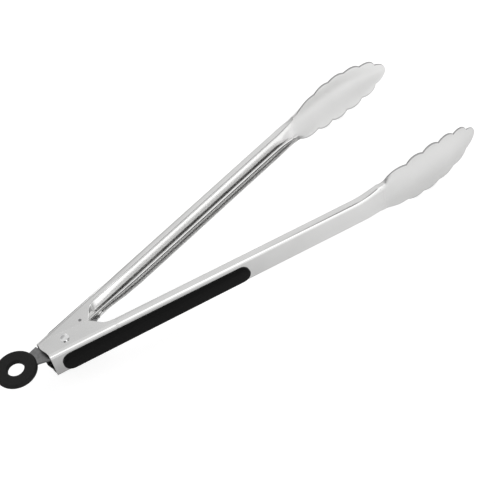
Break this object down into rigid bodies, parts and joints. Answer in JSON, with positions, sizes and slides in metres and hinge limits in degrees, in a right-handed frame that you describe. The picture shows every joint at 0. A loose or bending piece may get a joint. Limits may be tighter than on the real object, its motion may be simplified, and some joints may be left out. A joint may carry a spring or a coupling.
{
  "type": "spring loaded kitchen tongs",
  "caption": "Sprung stainless kitchen tongs with scalloped cupped heads, black grip pads, a rear pivot and a pull-ring lock.",
  "frame": {"origin": "centre of the bounding box at the level of the heads' lower rims, with the tongs lying on their side and the arms open", "axes": "+X from the pull ring towards the heads, +Y towards the upper arm, +Z along the pivot rivet"},
  "size_m": [0.3388, 0.1036, 0.04],
  "materials": {
    "arm_steel": "satin",
    "bright_steel": "polished",
    "spring_steel": "satin",
    "plate_steel": "satin",
    "grip_rubber": "matte",
    "ring_plastic": "matte"
  },
  "bodies": {
    "lower": {"lower_arm": "arm_steel", "lower_grip": "grip_rubber", "pivot_rivet": "bright_steel", "long_spacer": "spring_steel", "short_spacer": "spring_steel", "torsion_spring": "spring_steel"},
    "upper": {"upper_arm": "arm_steel", "upper_grip": "grip_rubber", "lock_pin": "bright_steel"},
    "pull": {"lock_plate": "plate_steel", "pull_ring": "ring_plastic"}
  },
  "joints": [
    {"name": "arm_hinge", "type": "hinge", "parent": "lower", "child": "upper", "pos_m": [-0.12335, -0.00207, 0.02], "axis": [0, 0, -1], "range_deg": [0, 16.5], "stiffness_Nm_per_rad": 0.3, "springref_deg": -28.65, "deforming": ["torsion_spring"]},
    {"name": "lock_slide", "type": "slide", "parent": "lower", "child": "pull", "axis": [-0.9851, 0.1719, 0], "range_m": [0, 0.0045]}
  ]
}
